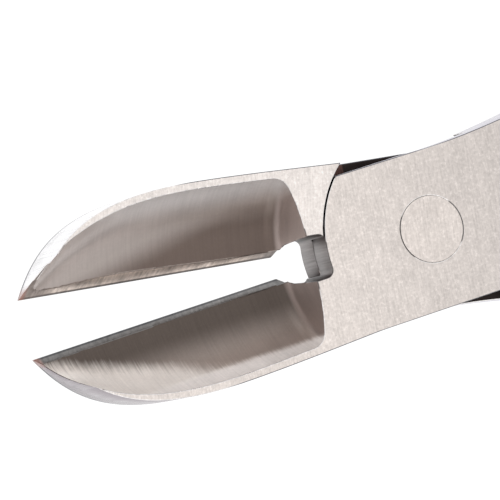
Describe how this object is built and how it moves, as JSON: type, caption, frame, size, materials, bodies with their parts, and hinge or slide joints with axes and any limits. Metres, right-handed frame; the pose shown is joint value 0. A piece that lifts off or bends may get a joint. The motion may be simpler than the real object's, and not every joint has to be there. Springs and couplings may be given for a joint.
{
  "type": "toenail nipper",
  "caption": "Lap-joint toenail nipper with hollow-ground straight jaws, sprung bowed handles and a wire handle catch.",
  "frame": {"origin": "on the pivot axis, in the plane of the back face that the tool lies on", "axes": "+X from the pivot towards the handle ends, along the line between the two cutting edges; +Y from the lower jaw to the upper jaw; +Z along the pivot axis, from the back face to the front face"},
  "size_m": [0.1386, 0.0407, 0.0055],
  "materials": {
    "satin_steel": "satin stainless steel, ground in fine lines across the tool",
    "rivet_steel": "satin, ground flush with the joint",
    "spring_steel": "rolled strip, lightly polished",
    "screw_steel": "turned",
    "wire_steel": "drawn bright wire"
  },
  "bodies": {
    "rear_lever": {"rear_half": "satin_steel", "pivot_rivet": "rivet_steel", "rear_leaf_spring": "spring_steel", "rear_spring_screw": "screw_steel"},
    "front_lever": {"front_half": "satin_steel", "front_leaf_spring": "spring_steel", "front_spring_screw": "screw_steel"},
    "catch": {"handle_catch": "wire_steel"}
  },
  "joints": [
    {"name": "jaw_pivot", "type": "hinge", "parent": "rear_lever", "child": "front_lever", "pos_m": [0, 0, 0.00275], "axis": [0, 0, 1], "range_deg": [-8.16, 10], "stiffness_Nm_per_rad": 1.2, "deforming": ["front_leaf_spring", "rear_leaf_spring"]},
    {"name": "catch_swing", "type": "hinge", "parent": "rear_lever", "child": "catch", "pos_m": [0.10431, -0.01346, 0.00275], "axis": [0, 0, 1], "range_deg": [0, 245]}
  ]
}
